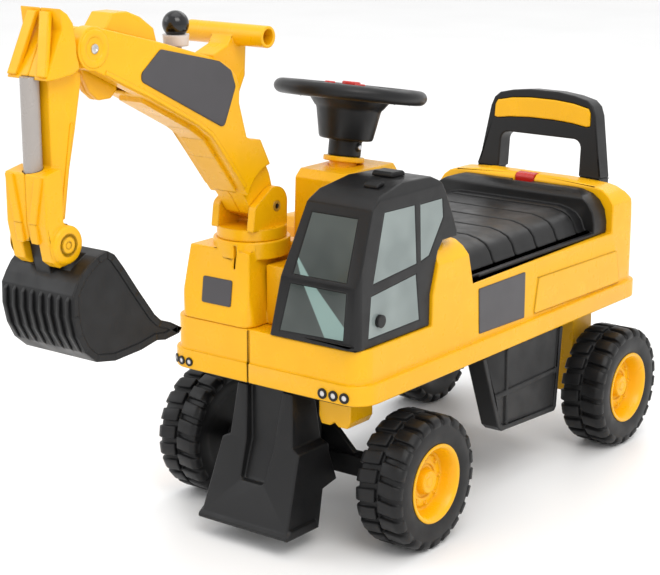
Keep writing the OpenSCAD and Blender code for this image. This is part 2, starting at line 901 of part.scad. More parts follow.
module boom_plates() {
    color([0.35, 0.35, 0.37]) framed() translate([digger_x, 0, 0]) both_sides()
        along_x(boom_half, boom_half + 0.9) eased(5)
            polygon([[-366, 477], [-290, 459], [-274, 449], [-268, 434], [-285, 398], [-391, 452],
                     [-390, 459]]);
}

module boom_cover() {
    color([0.98, 0.74, 0.1]) framed() translate([digger_x, 0, 0]) difference() {
        along_x(-13, 13) polygon([[-422, 498], [-411, 511], [-394, 511], [-378, 505], [-362, 494],
                                  [-358, 480]]);
        along_x(-30, 30) boom_outline();
        along_x(-10, 10) polygon([[-418, 490], [-409, 508], [-395, 508], [-380, 502.3], [-366, 492],
                                  [-362, 470]]);
    }
}

tube_c = [-248, 478];

module t_handle() {
    color([0.98, 0.74, 0.1]) framed() translate([digger_x, 0, 0]) difference() {
        union() {
            x_bar(tube_c, tube_r, -47, 47);
            along_x(-12, 12) difference() {
                polygon([[-258, 478], [-264, 470], [-284, 463], [-284, 455], [-262, 425],
                         [-252, 418], [-240, 440], [-238, 476]]);
                offset(delta = 0.02) boom_outline();
            }
        }
        x_bar(tube_c, tube_bore_r, 12, 48);
        x_bar(tube_c, tube_bore_r, -48, -12);
    }
}

// ---------------------------------------------------------------- lever, link and arm

function crank(pivot) = [pivot[0] + crank_r * crank_dir[0], pivot[1] + crank_r * crank_dir[1]];

module control_lever() {
    color([0.92, 0.92, 0.92]) framed() translate([digger_x, 0, 0]) difference() {
        union() {
            along_x(-6, 6) hull() {
                translate(lever_pivot) circle(r = 6, $fn = 32);
                translate(crank(lever_pivot)) circle(r = 5, $fn = 32);
            }
            translate([0, lever_pivot[0], lever_pivot[1] + 10]) cylinder(r = 5, h = 30);
            translate([0, lever_pivot[0], lever_pivot[1] + 34]) cylinder(r1 = 11, r2 = 12, h = 10);
        }
        x_bar(crank(lever_pivot), link_pin_r + clear, -7, 7);
    }
    color([0.92, 0.92, 0.92]) framed() translate([digger_x, 0, 0])
        both_sides() x_bar(lever_pivot, lever_pin_r - clear, 5.9, 12.5);
}

module ball_knob() {
    color([0.05, 0.05, 0.05]) framed() translate([digger_x, lever_pivot[0], lever_pivot[1] + 53])
        difference() {
            sphere(r = 12);
            translate([0, 0, -21]) cylinder(r = 20, h = 12);
        }
}

// Rod between the lever's crank and the arm's crank, beside both
module link_rod() {
    from = crank(lever_pivot);
    to = crank(arm_pivot);
    color([0.3, 0.3, 0.3]) framed() translate([digger_x, 0, 0]) {
        along_x(6.4, 8.9) hull() {
            translate(from) circle(r = 3.5, $fn = 24);
            translate(to) circle(r = 3.5, $fn = 24);
        }
        x_bar(from, link_pin_r, -5, 7);
        x_bar(to, link_pin_r, 3, 7);
    }
}

module arm_upper() {
    polygon([[-482, 521], [-474, 516], [-468, 508], [-465, 490], [-462, 470], [-470, 466],
             [-490, 464], [-500, 464], [-480, 503]]);
}

module arm_shaft() {
    polygon([[-488, 470], [-451, 470], [-451, 459], [-460, 418], [-468, 386], [-475, 345],
             [-488, 345]]);
}

module arm_lower() {
    polygon([[-507, 387], [-488, 391], [-486, 380], [-487, 346], [-474, 338], [-471, 322],
             [-478, 313], [-493, 308], [-501, 314], [-505, 335], [-507, 345]]);
    translate(bucket_pivot) circle(r = 16.5, $fn = 48);
}

module arm_half_shell() {
    difference() {
        union() {
            along_x(0.05, boom_half) {
                arm_upper();
                arm_lower();
            }
            along_x(0.05, shaft_half) arm_shaft();
        }
        along_x(-1, boom_half - wall) {
            offset(delta = -wall) arm_upper();
            difference() {
                offset(delta = -wall) arm_lower();
                translate(bucket_pivot) circle(r = 17, $fn = 32);
            }
        }
        along_x(-1, shaft_half - wall) offset(delta = -wall) arm_shaft();
        x_bar(arm_pivot, boom_end_r + 1.5, -1, 30);
        along_x(-1, hub_gap_half + 0.5) {
            translate(bucket_pivot) circle(r = 18, $fn = 48);
            polygon([[-520, 300], [-460, 300], [-460, 327], [-520, 327]]);
        }
        x_bar(bucket_pivot, bucket_pin_r, -1, 30);
        translate([0, -497, 383.9]) cylinder(r = 8, h = 82.2);
    }
    difference() {
        x_bar(bucket_pivot, 16.5, boom_half - 0.5, boom_half + 3);
        x_bar(bucket_pivot, bucket_pin_r, -1, 30);
    }
}

// The arm's rear hub, which swings between the boom's cheeks and holds the crank's hole
module arm_hub() {
    difference() {
        union() {
            x_bar(arm_pivot, boom_end_r - 1.5, 0.05, 6);
            along_x(0.05, 6) polygon([[-470, 497], [-450, 497], [-440, 473], [-468, 466]]);
            along_x(0.05, 6) polygon([[-452, 480], [-432, 480], [-402, 452], [-402, 444],
                                      [-410, 438], [-424, 438], [-434, 446]]);
        }
        x_bar(arm_pivot, arm_pin_r + clear, -1, 8);
        x_bar(crank(arm_pivot), link_pin_r + 0.8, -1, 8);
    }
}

module arm_left() {
    color([0.98, 0.74, 0.1]) framed() translate([digger_x, 0, 0]) {
        arm_half_shell();
        arm_hub();
    }
}

module arm_right() {
    color([0.98, 0.74, 0.1]) framed() translate([digger_x, 0, 0]) mirror([1, 0, 0]) {
        arm_half_shell();
        arm_hub();
    }
}

module arm_pin() {
    color([0.8, 0.8, 0.8]) framed() translate([digger_x, 0, 0]) {
        x_bar(arm_pivot, arm_pin_r, -20.5, 20.5);
    }
}

module cylinder_rod() {
    color([0.72, 0.72, 0.72]) framed() translate([digger_x, -497, 384])
        cylinder(r = 7.95, h = 82);
}

// ---------------------------------------------------------------- bucket

module bucket_outline() {
    polygon([
        [-457, 319], [-449, 314.5], [-439, 302], [-421, 277], [-402, 252], [-394, 245],
        [-382, 240.5], [-369, 232.5], [-372, 229], [-389, 226], [-400, 228], [-420, 224],
        [-452, 222], [-474, 226], [-487, 237], [-495, 252], [-499, 270], [-498.5, 288],
        [-493, 297], [-487, 304.5], [-480, 310], [-469, 316]
    ]);
}

// Inside of the bucket, open towards the toy
module bucket_hollow() {
    polygon([
        [-457, 315.5], [-468, 312.5], [-478, 307], [-485, 301.5], [-490.5, 295], [-495, 287],
        [-495.5, 270], [-491.5, 253], [-484, 240], [-472, 230], [-452, 226], [-420, 228],
        [-400, 233], [-380, 245], [-340, 260], [-340, 330], [-446, 330], [-452, 313]
    ]);
}

module bucket() {
    color([0.13, 0.13, 0.13]) framed() translate([digger_x, 0, 0]) difference() {
        union() {
            difference() {
                along_x(-bucket_half, bucket_half) bucket_outline();
                along_x(-bucket_half + wall, bucket_half - wall) bucket_hollow();
                x_bar(bucket_pivot, 22, -boom_half - 4, boom_half + 4);
            }
            along_x(-boom_half - 4, boom_half + 4) intersection() {
                difference() {
                    translate(bucket_pivot) circle(r = 25.2);
                    translate(bucket_pivot) circle(r = 22);
                }
                bucket_outline();
            }
            along_x(-8.5, 8.5) polygon([[-496, 327], [-476, 327], [-474, 314], [-480, 301],
                                        [-490, 301], [-494, 314]]);
            x_bar(bucket_pivot, 10, -8.5, 8.5);
        }
        x_bar(bucket_pivot, bucket_pin_r + clear, -20, 20);
    }
}

module bucket_pin() {
    color([0.8, 0.8, 0.8]) framed() translate([digger_x, 0, 0])
        x_bar(bucket_pivot, bucket_pin_r, -boom_half - 1.4, boom_half + 1.4);
}

body_shell();
tower_cover();
console();
column_bush();
under_pan();
step_left();
step_right();
front_blade();
arch_blocks();
cab_shell();
windscreen_upper();
windscreen_lower();
side_windows();
door_window();
door_knob();
roof_hatch();
roof_lamp();
lamp_bezels();
lamp_lenses();
front_decal();
side_decals();
storage_bin();
seat_hinge_pin();
push_handle();
handle_grip();
rear_axle();
steering_wheel();
wheel_pad();
steering_rod();
front_fork();
front_axle();
horn_button();
sound_buttons();
seat_lid();
latch_button();
turret();
turret_retainer();
boom_pin();
boom_left();
boom_right();
boom_plates();
boom_cover();
t_handle();
control_lever();
ball_knob();
link_rod();
arm_left();
arm_right();
arm_pin();
cylinder_rod();
bucket();
bucket_pin();
tyre_fl();
tyre_fr();
tyre_rl();
tyre_rr();
hub_fl();
hub_fr();
hub_rl();
hub_rr();
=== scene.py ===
import json
import math

import bmesh
import bpy
from mathutils import Matrix, Vector


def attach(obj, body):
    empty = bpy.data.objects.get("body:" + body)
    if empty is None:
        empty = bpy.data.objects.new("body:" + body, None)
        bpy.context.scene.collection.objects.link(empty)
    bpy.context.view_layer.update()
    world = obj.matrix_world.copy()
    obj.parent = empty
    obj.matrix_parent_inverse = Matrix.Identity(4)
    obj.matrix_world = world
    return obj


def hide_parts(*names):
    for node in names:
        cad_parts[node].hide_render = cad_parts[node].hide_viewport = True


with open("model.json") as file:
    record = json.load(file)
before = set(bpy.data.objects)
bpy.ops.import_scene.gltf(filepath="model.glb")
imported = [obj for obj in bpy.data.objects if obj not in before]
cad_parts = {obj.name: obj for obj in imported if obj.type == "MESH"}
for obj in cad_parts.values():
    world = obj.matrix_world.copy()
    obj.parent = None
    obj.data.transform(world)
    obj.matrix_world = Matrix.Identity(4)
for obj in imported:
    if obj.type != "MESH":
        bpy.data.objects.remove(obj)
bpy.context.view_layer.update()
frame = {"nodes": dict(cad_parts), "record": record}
nodes = frame["nodes"]
scene = bpy.context.scene
print("frame loaded:", len(nodes), "nodes")

# Everything is measured in millimetres from the point midway between the axles,
# and moved to the frame's own place at the end.
toyShift = Vector((0, 124, 0))


def place(x, y, z):
    return (Vector((x, y, z)) + toyShift) / 1000


# materials

class Wire:
    # a shader socket that ordinary sums can be written with
    def __init__(self, sheet, socket):
        self.sheet = sheet
        self.socket = socket

    def maths(self, operation, *values):
        return self.sheet.add("ShaderNodeMath", {"operation": operation}, dict(enumerate(values)))

    def __add__(self, other):
        return self.maths("ADD", self, other)

    def __radd__(self, other):
        return self.maths("ADD", other, self)

    def __sub__(self, other):
        return self.maths("SUBTRACT", self, other)

    def __rsub__(self, other):
        return self.maths("SUBTRACT", other, self)

    def __mul__(self, other):
        return self.maths("MULTIPLY", self, other)

    def __rmul__(self, other):
        return self.maths("MULTIPLY", other, self)

    def ramp(self, low, high, toLow, toHigh):
        # stretches the stretch low..high to toLow..toHigh and holds it beyond
        values = {"Value": self, "From Min": low, "From Max": high, "To Min": toLow, "To Max": toHigh}
        return self.sheet.add("ShaderNodeMapRange", {"clamp": True}, values)


class Sheet:
    # one material and its nodes
    def __init__(self, name):
        self.material = bpy.data.materials.new(name)
        self.material.use_nodes = True
        self.tree = self.material.node_tree
        self.shader = self.tree.nodes["Principled BSDF"]

    def add(self, kind, settings=None, sockets=None, output=0):
        node = self.tree.nodes.new(kind)
        for key, value in (settings or {}).items():
            setattr(node, key, value)
        for key, value in (sockets or {}).items():
            self.put(node.inputs[key], value)
        return Wire(self, node.outputs[output])

    def put(self, socket, value):
        if isinstance(value, Wire):
            self.tree.links.new(value.socket, socket)
        else:
            socket.default_value = value

    def feed(self, **inputs):
        for name, value in inputs.items():
            self.put(self.shader.inputs[name.replace("_", " ")], value)

    def spot(self):
        return self.add("ShaderNodeTexCoord", output="Object")

    def noise(self, scale, detail=3, roughness=0.5):
        values = {"Vector": self.spot(), "Scale": scale, "Detail": detail, "Roughness": roughness}
        return self.add("ShaderNodeTexNoise", {}, values)

    def mixed(self, factor, first, second):
        # a colour mix; its factor, two colours and result are sockets 0, 6, 7 and 2
        return self.add("ShaderNodeMix", {"data_type": "RGBA"}, {0: factor, 6: first, 7: second}, 2)

    def bumped(self, height, strength, distance, normal=None):
        values = {"Height": height, "Strength": strength, "Distance": distance}
        if normal:
            values["Normal"] = normal
        return self.add("ShaderNodeBump", {}, values)


def shade(colour, factor):
    return tuple(c * factor for c in colour) + (1,)


# rough wanders by `wander`; grain is counted per metre and its depth is in metres
plastics = {
    "yellowPlastic": dict(colour=(0.84, 0.425, 0.002),
                          rough=0.30, wander=0.06, grain=900, depth=0.00004, gloss=0.36),
    "blackPlastic": dict(colour=(0.0085, 0.0085, 0.009),
                         rough=0.38, wander=0.08, grain=1400, depth=0.00008, gloss=0.30),
    "wheelBlack": dict(colour=(0.0075, 0.0075, 0.008),
                       rough=0.42, wander=0.08, grain=1100, depth=0.00010, gloss=0.28),
    "knobBlack": dict(colour=(0.004, 0.004, 0.005),
                      rough=0.14, wander=0.03, grain=500, depth=0.00001, gloss=0.5),
    "leverWhite": dict(colour=(0.62, 0.56, 0.53),
                       rough=0.32, wander=0.05, grain=900, depth=0.00003, gloss=0.5),
    "redPlastic": dict(colour=(0.52, 0.016, 0.010),
                       rough=0.28, wander=0.05, grain=900, depth=0.00003, gloss=0.5),
    "greySheet": dict(colour=(0.060, 0.057, 0.062),
                      rough=0.34, wander=0.04, grain=2000, depth=0.00001, gloss=0.4),
    "lampWhite": dict(colour=(0.66, 0.64, 0.64),
                      rough=0.30, wander=0.04, grain=2000, depth=0.00001, gloss=0.5),
    "rodSilver": dict(colour=(0.34, 0.31, 0.29),
                      rough=0.28, wander=0.06, grain=900, depth=0.00003, gloss=0.6),
}


def plastic(name, colour, rough, wander, grain, depth, gloss):
    sheet = Sheet(name)
    sheet.put(sheet.shader.inputs["Specular IOR Level"], gloss)
    broad = sheet.noise(9, 2)
    patch = sheet.noise(60, 4)
    fine = sheet.noise(grain, 2)
    tone = sheet.mixed(broad.ramp(0.3, 0.7, 0, 1), shade(colour, 0.95), shade(colour, 1.05))
    tone = sheet.mixed(patch.ramp(0.35, 0.75, 0, 0.5), tone, shade(colour, 0.93))
    sheet.feed(Base_Color=tone, Roughness=rough + wander * (patch.ramp(0.3, 0.7, -1, 1)))
    rounded = sheet.add("ShaderNodeBevel", {"samples": 4}, {"Radius": 0.0022})
    sheet.feed(Normal=sheet.bumped(fine, 0.35, depth, rounded))
    return sheet.material


finish = {name: plastic(name, **values) for name, values in plastics.items()}


# pane tones: the side panes are painted lighter than the front panes, as painted light where the lamp
# falls on the side
# glare: two slanting edges on the front panes, as (x, z) pairs in millimetres
paneLookWithPaintedLight = dict(front=((0.032, 0.041, 0.038), (0.068, 0.082, 0.076)),
                  side=((0.17, 0.205, 0.20), (0.27, 0.315, 0.305)),
                  glareColour=(0.20, 0.30, 0.28), glare=(((41, 272), (74, 214)), ((52, 268), (96, 226))))


def beside(x, z, line):
    # how far a spot lies above a line through two points, in metres
    (x0, z0), (x1, z1) = line
    dx, dz = x1 - x0, z1 - z0
    length = math.hypot(dx, dz)
    return (z - z0 / 1000) * (dx / length) - (x - x0 / 1000) * (dz / length)


def windowSheet(name, dark, light, glareColour=None, glare=()):
    sheet = Sheet(name)
    sheet.put(sheet.shader.inputs["Specular IOR Level"], 0.4)
    broad = sheet.noise(14, 2)
    fine = sheet.noise(1500, 1)
    tone = sheet.mixed(broad.ramp(0.35, 0.65, 0, 1), dark + (1,), light + (1,))
    if glare:
        x = sheet.add("ShaderNodeSeparateXYZ", {}, {"Vector": sheet.spot()}, "X")
        z = sheet.add("ShaderNodeSeparateXYZ", {}, {"Vector": sheet.spot()}, "Z")
        low, high = (beside(x, z, line) for line in glare)
        band = low.ramp(-0.0006, 0.0006, 0, 1) * high.ramp(-0.0006, 0.0006, 1, 0)
        tone = sheet.mixed(band, tone, glareColour + (1,))
    sheet.feed(Base_Color=tone, Roughness=0.16 + 0.05 * broad, Coat_Weight=0.15)
    sheet.feed(Normal=sheet.bumped(fine, 0.2, 0.00001))
    return sheet.material


def drawnSteel():
    sheet = Sheet("drawnSteel")
    streak = sheet.add("ShaderNodeMapping", {}, {"Vector": sheet.spot(), "Scale": (40, 1500, 1500)})
    lines = sheet.add("ShaderNodeTexNoise", {}, {"Vector": streak, "Scale": 1.0, "Detail": 3.0})
    tone = sheet.mixed(lines.ramp(0.3, 0.7, 0, 1), (0.50, 0.50, 0.52, 1), (0.64, 0.64, 0.66, 1))
    sheet.feed(Base_Color=tone, Metallic=1.0, Roughness=0.25 + 0.15 * lines)
    sheet.feed(Normal=sheet.bumped(lines, 0.3, 0.00002))
    return sheet.material


# the side panes take the lighter tones, painted light for the lit side; the front panes keep the darker
# tones and the glare
finish["windowSheet"] = windowSheet("windowSheet", *paneLookWithPaintedLight["side"])
finish["frontSheet"] = windowSheet("frontSheet", *paneLookWithPaintedLight["front"], paneLookWithPaintedLight["glareColour"],
                                   paneLookWithPaintedLight["glare"])
finish["drawnSteel"] = drawnSteel()
finishOfSlot = {
    "yellow_plastic": "yellowPlastic", "black_plastic": "blackPlastic", "wheel_black": "wheelBlack",
    "knob_black": "knobBlack", "lever_white": "leverWhite", "red_plastic": "redPlastic",
    "grey_sheet": "greySheet", "window_sheet": "windowSheet", "lamp_white": "lampWhite",
    "rod_silver": "rodSilver", "steel": "drawnSteel",
}
slotOfNode = {part["node"]: part["material_slot"] for part in frame["record"]["subparts"]}
bodyOfNode = {node: body for body, members in frame["record"]["behaviour"]["bodies"].items()
              for node in members}


def paint(thing, material):
    thing.data.materials.clear()
    thing.data.materials.append(material)


for name, thing in nodes.items():
    paint(thing, finish[finishOfSlot[slotOfNode[name]]])
for name in ("windscreen_upper", "windscreen_lower"):
    paint(nodes[name], finish["frontSheet"])
print("finishes made:", len(finish))

# tools for making pieces

def newMesh(name, bm, material, body, replaces=(), smooth=35, bevel=0, segments=2):
    # turns a bmesh in millimetres into a piece that rides on a body
    bmesh.ops.recalc_face_normals(bm, faces=bm.faces)
    bmesh.ops.transform(bm, matrix=Matrix.Scale(0.001, 4) @ Matrix.Translation(toyShift), verts=bm.verts)
    mesh = bpy.data.meshes.new(name)
    bm.to_mesh(mesh)
    bm.free()
    return finishPiece(name, mesh, material, body, replaces, smooth, bevel, segments)


def finishPiece(name, mesh, material, body, replaces, smooth, bevel, segments):
    thing = bpy.data.objects.new(name, mesh)
    scene.collection.objects.link(thing)
    paint(thing, finish[material])
    if bevel:
        rounding = thing.modifiers.new("edges", "BEVEL")
        rounding.width = bevel / 1000
        rounding.segments = segments
        rounding.limit_method = "ANGLE"
        rounding.angle_limit = math.radians(smooth)
        rounding.harden_normals = True
        rounding.use_clamp_overlap = False
    mesh.shade_smooth()
    mesh.set_sharp_from_angle(angle=math.radians(smooth))
    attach(thing, body)
    if replaces:
        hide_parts(*replaces)
    return thing


def softened(name, width=1.0, segments=2, limit=30, material=None):
    # a merged copy of a CAD node with its edges rounded as the mould leaves them
    bm = bmesh.new()
    bm.from_mesh(nodes[name].data)
    bmesh.ops.remove_doubles(bm, verts=bm.verts, dist=0.00002)
    bmesh.ops.dissolve_limit(bm, angle_limit=math.radians(0.6), use_dissolve_boundaries=False,
                             verts=bm.verts, edges=bm.edges)
    mesh = bpy.data.meshes.new(name + "_moulded")
    bm.to_mesh(mesh)
    bm.free()
    finishName = material or finishOfSlot[slotOfNode[name]]
    return finishPiece(name + "_moulded", mesh, finishName, bodyOfNode[name], (name,),
                       limit, width, segments)


# turns a shape drawn along Z to lie along X
quarterTurn = Matrix.Rotation(math.radians(90), 4, "Y")


def polygonFace(bm, points):
    return bm.faces.new([bm.verts.new(p) for p in points])


def extruded(bm, face, step):
    # pushes a face along a step and closes the solid; returns its corners
    grown = bmesh.ops.extrude_face_region(bm, geom=[face])
    moved = [v for v in grown["geom"] if isinstance(v, bmesh.types.BMVert)]
    bmesh.ops.translate(bm, verts=moved, vec=step)
    return moved + list(face.verts)


def copied(bm, verts, matrix):
    source = set(verts)
    geometry = list(source) + [e for e in bm.edges if set(e.verts) <= source] + \
        [f for f in bm.faces if set(f.verts) <= source]
    made = bmesh.ops.duplicate(bm, geom=geometry)
    fresh = [v for v in made["geom"] if isinstance(v, bmesh.types.BMVert)]
    bmesh.ops.transform(bm, matrix=matrix, verts=fresh)
    return fresh


def spun(bm, points, steps, axis, centre=(0, 0, 0)):
    # turns an outline a whole turn about an axis
    verts = [bm.verts.new(p) for p in points]
    edges = [bm.edges.new((a, b)) for a, b in zip(verts, verts[1:])]
    bmesh.ops.spin(bm, geom=verts + edges, cent=centre, axis=axis, dvec=(0, 0, 0),
                   angle=math.radians(360), steps=steps, use_merge=True, use_duplicate=False)


# wheels are drawn with the axle along X and the outer face towards +X, then set on each corner

tyreShape = dict(radius=65, floor=61.2, width=51, bead=37.6, blocks=22, rowStart=1.6, blockLength=12.6,
                 chevron=0.30, edge=0.9)
hubShape = dict(rim=38.5, seat=36, dish=29.5, dishFloor=34, ring=16.5, bolts=8, boltRing=21.8,
                boltSize=2.1, cap=11.5, steps=72)


def tyreMesh(radius, floor, width, bead, blocks, rowStart, blockLength, chevron, edge):
    bm = bmesh.new()
    outline = [(width - 3.4, bead - 2.6), (width - 2.4, bead - 0.4), (width - 1.6, bead + 1.6),
               (width - 0.7, 43), (width - 0.2, 48), (width - 0.4, 54), (width - 1.6, 58.6),
               (width - 4, 60.6), (width - 8, floor), (width / 2 + 2, floor), (width / 2, floor - 1.2),
               (width / 2 - 2, floor), (8, floor), (4, 60.4), (1.4, 56), (0.4, 48),
               (2, 41), (3.6, 37), (3.6, 9.6), (3, 9), (-8.9, 9), (-9.4, 8.4), (-9.4, 4.3)]
    spun(bm, [(x, 0, r) for x, r in outline], 96, (1, 0, 0))
    # one block of the outer row: flat on the tread, lapping over the shoulder
    half = width / 2
    block = [(half + rowStart, floor - 1), (half + rowStart, radius), (width - 6.5, radius),
             (width - 2.2, radius - 1.9), (width - 0.4, radius - 4.6), (width - 0.1, radius - 8.5),
             (width - 2.5, floor - 6)]
    turn = math.radians(360 / blocks)
    for side, phase in ((1, 0), (-1, 0.5)):
        face = polygonFace(bm, [(x, -blockLength / 2, r) for x, r in block])
        verts = extruded(bm, face, (0, blockLength, 0))
        for v in verts:
            reach = (v.co.x - half) / half
            v.co.y += chevron * 10 * (0.5 - reach)
            v.co.y *= 1 - 0.10 * (v.co.x > width - 3)
        if side < 0:
            bmesh.ops.scale(bm, vec=(-1, 1, 1), verts=verts)
            bmesh.ops.translate(bm, verts=verts, vec=(width, 0, 0))
        inside = set(verts)
        hard = [e for e in bm.edges if set(e.verts) <= inside]
        rounded = bmesh.ops.bevel(bm, geom=hard, offset=edge, offset_type="OFFSET", segments=2,
                                  profile=0.5, affect="EDGES", clamp_overlap=True, material=-1)
        verts = list({v for f in rounded["faces"] for v in f.verts})
        bmesh.ops.rotate(bm, verts=verts, cent=(0, 0, 0), matrix=Matrix.Rotation(phase * turn, 3, "X"))
        for i in range(1, blocks):
            copied(bm, verts, Matrix.Rotation(i * turn, 4, "X"))
    return bm


def hubMesh(rim, seat, dish, dishFloor, ring, bolts, boltRing, boltSize, cap, steps):
    bm = bmesh.new()
    outline = [(46.6, seat), (48.4, rim - 0.6), (49.6, rim), (50.3, rim - 0.6), (50.5, rim - 1.6),
               (50.2, rim - 3), (48.8, rim - 4.4), (46.8, rim - 5.6), (44, dish + 2.2),
               (40, dish + 0.9), (36.4, dish), (34.6, dish - 0.8)]
    # the dish's floor with its raised ring and the cap in the middle, measured from the floor
    face = [(0, dish - 2.4), (0, ring + 9.2), (0.3, ring + 8.7), (1.9, ring + 8.3), (2.3, ring + 7.6),
            (2.3, ring + 0.6), (2.1, ring), (0.6, ring - 0.4), (0.5, cap + 2), (0.9, cap + 1.2),
            (6.6, cap), (8, cap - 0.8), (8.4, cap - 2), (7.8, cap - 3.4), (7.6, 5), (8.4, 4.2),
            (8.5, 0.01)]
    outline += [(dishFloor + x, r) for x, r in face]
    spun(bm, [(x, 0, r) for x, r in outline], steps, (1, 0, 0))
    for i in range(bolts):
        made = bmesh.ops.create_cone(bm, cap_ends=True, cap_tris=False, segments=18, radius1=boltSize,
                                     radius2=boltSize * 0.8, depth=3)
        spot = Matrix.Rotation(math.radians(i * 360 / bolts), 4, "X") @ \
            Matrix.Translation((dishFloor + 3.2, 0, boltRing)) @ quarterTurn
        bmesh.ops.transform(bm, matrix=spot, verts=made["verts"])
    return bm


# each wheel's inner face stands wheelOut from the toy's middle, with its axle wheelUp above the floor
wheelOut = 98
wheelUp = 65
wheelParts = (("tyre", tyreMesh, tyreShape, "wheelBlack", 34),
              ("hub", hubMesh, hubShape, "yellowPlastic", 38))


def setWheel(corner, side, y):
    where = Matrix.Translation((side * wheelOut, y, wheelUp)) @ Matrix.Scale(side, 4, (1, 0, 0))
    for part, build, shape, material, edge in wheelParts:
        bm = build(**shape)
        bmesh.ops.remove_doubles(bm, verts=bm.verts, dist=0.001)
        bmesh.ops.transform(bm, matrix=where, verts=bm.verts)
        newMesh(part + "_" + corner + "_moulded", bm, material, "wheel_" + corner,
                (part + "_" + corner,), smooth=edge)


for corner, side, y in (("fl", 1, -186), ("fr", -1, -186), ("rl", 1, 186), ("rr", -1, 186)):
    setWheel(corner, side, y)
print("wheels made")

# moulded edges on the shells that keep their CAD shape, in millimetres

softEdge = dict(body_shell=1.4, tower_cover=1.4, console=1.4, column_bush=0.8, under_pan=0.8,
                step_left=1.0, step_right=1.0, front_blade=1.2, arch_blocks=1.0, cab_shell=1.2,
                roof_hatch=0.6, roof_lamp=0.8, push_handle=1.4, handle_grip=1.1,
                boom_left=1.2, boom_right=1.2, boom_cover=1.2, t_handle=1.0, arm_left=1.2,
                arm_right=1.2, latch_button=0.8, storage_bin=1.0, front_fork=1.0, seat_lid=1.3)

for name, width in softEdge.items():
    softened(name, width)
print("moulded edges made:", len(softEdge))

# digger: boom end bosses, keel and edge beads, arm ridges, bucket ribs and rims

diggerShape = dict(middle=-47, half=23.5, armPin=(-445, 485), bucketPin=(-486, 327), boomPin=(-213, 314))
bucketShape = dict(half=42, ribs=8, ribWide=3.4, ribRise=2.6, rimWide=6.5, rimRise=1.9)


def hulled(bm, points):
    # the smallest solid round a few points
    made = bmesh.ops.convex_hull(bm, input=[bm.verts.new(p) for p in points], use_existing_faces=False)
    bmesh.ops.delete(bm, geom=list(set(made["geom_interior"] + made["geom_unused"])), context="VERTS")


def turnedBoss(bm, spot, side, points, steps=48):
    # a round boss standing out of the digger's side; points are (out, radius)
    y, z = spot
    middle, half = diggerShape["middle"], diggerShape["half"]
    outline = [(middle + side * (half + out), y, z + r) for out, r in points]
    spun(bm, outline, steps, (1, 0, 0), (0, y, z))


def sideStrip(bm, path, rise, wide, side, low=0.0):
    # a bead along a side-view path; it grows by `wide` to the path's left and stands out by `rise`
    middle, half = diggerShape["middle"], diggerShape["half"]
    inner = [Vector((0, y, z)) for y, z in path]
    outer = []
    for i, spot in enumerate(inner):
        way = inner[min(i + 1, len(inner) - 1)] - inner[max(i - 1, 0)]
        outer.append(spot + Vector((0, -way.z, way.y)).normalized() * wide)
    x = middle + side * (half + low)
    face = polygonFace(bm, [(x, p.y, p.z) for p in inner + outer[::-1]])
    extruded(bm, face, (side * rise, 0, 0))


# the boom's lower edge, from the arm end to the turret end
boomBelow = [(-434, 462), (-380, 436.5), (-321, 405.5), (-302, 393), (-286, 373.5), (-257, 337)]
armBoss = [(-0.6, 16.6), (0.7, 16.2), (1.1, 15.2), (1.1, 10.8), (0.7, 9.9), (-0.1, 9.3), (-0.1, 0.01)]
armScrew = [(-0.3, 4.3), (1.0, 4.1), (1.6, 3.2), (1.8, 1.9), (1.0, 1.2), (1.0, 0.01)]


def makeBoomDetails():
    bm = bmesh.new()
    for side in (1, -1):
        turnedBoss(bm, diggerShape["armPin"], side, armBoss)
        sideStrip(bm, boomBelow, 1.3, 4.2, side, -0.4)
    newMesh("boom_beads", bm, "yellowPlastic", "boom", smooth=30, bevel=0.5)
    bm = bmesh.new()
    middle = diggerShape["middle"]
    for (y0, z0), (y1, z1) in zip(boomBelow[1:], boomBelow[2:]):
        hulled(bm, [(middle + s * 14, y, z + r) for s in (1, -1)
                    for y, z in ((y0, z0), (y1, z1)) for r in (-5, 3)])
    newMesh("boom_keel", bm, "yellowPlastic", "boom", smooth=30, bevel=0.8)
    bm = bmesh.new()
    for side in (1, -1):
        turnedBoss(bm, diggerShape["armPin"], side, armScrew, 24)
    newMesh("arm_screws", bm, "drawnSteel", "boom", smooth=40)


bucketBoss = [(2.6, 15.9), (3.6, 15.3), (3.8, 14.4), (3.8, 9.8), (3.2, 9.0), (3.2, 7.6), (3.9, 6.9),
              (3.9, 3.4), (3.2, 2.6), (3.2, 0.01)]


def makeArmDetails():
    bm = bmesh.new()
    middle = diggerShape["middle"]
    for side in (1, -1):
        def bar(top, bottom, wide, rise):
            # a raised bar down the front, from (x, y, z) to (x, y, z)
            hulled(bm, [(middle + side * (x + w), y + r, z) for x, y, z in (top, bottom)
                        for w in (0, wide) for r in (1.5, -rise)])
        bar((2.0, -481.5, 518), (12.0, -497.5, 467), 10.5, 3.2)
        bar((13.0, -506.5, 386), (4.5, -506.5, 346), 8.5, 2.6)
        bar((4.5, -506.5, 346), (4.5, -504.2, 329), 8.5, 2.4)
        turnedBoss(bm, diggerShape["bucketPin"], side, bucketBoss)
        # flange down the shaft's rear edge
        hulled(bm, [(middle + side * (12.6 + w), y + r, z) for y, z in ((-463, 425), (-478, 347))
                    for w in (0, 1.4) for r in (-3, 1)])
    newMesh("arm_ridges", bm, "yellowPlastic", "arm", smooth=30, bevel=0.7)


# the bucket's outer skin where the ribs lie, and the whole edge of its side plates
bucketBack = [(-494.5, 292), (-498.6, 284), (-499.4, 270), (-495.4, 252), (-487.5, 237), (-475, 226.5),
              (-462, 223), (-450, 222.4)]
bucketEdge = [(-457, 319), (-469, 316), (-480, 310), (-487, 304.5), (-493, 297), (-498.5, 288),
              (-499, 270), (-495, 252), (-487, 237), (-474, 226), (-452, 222), (-420, 224),
              (-400, 228), (-389, 226), (-372, 229), (-369, 232.5), (-382, 240.5), (-394, 245),
              (-402, 252), (-421, 277), (-439, 302), (-449, 314.5)]


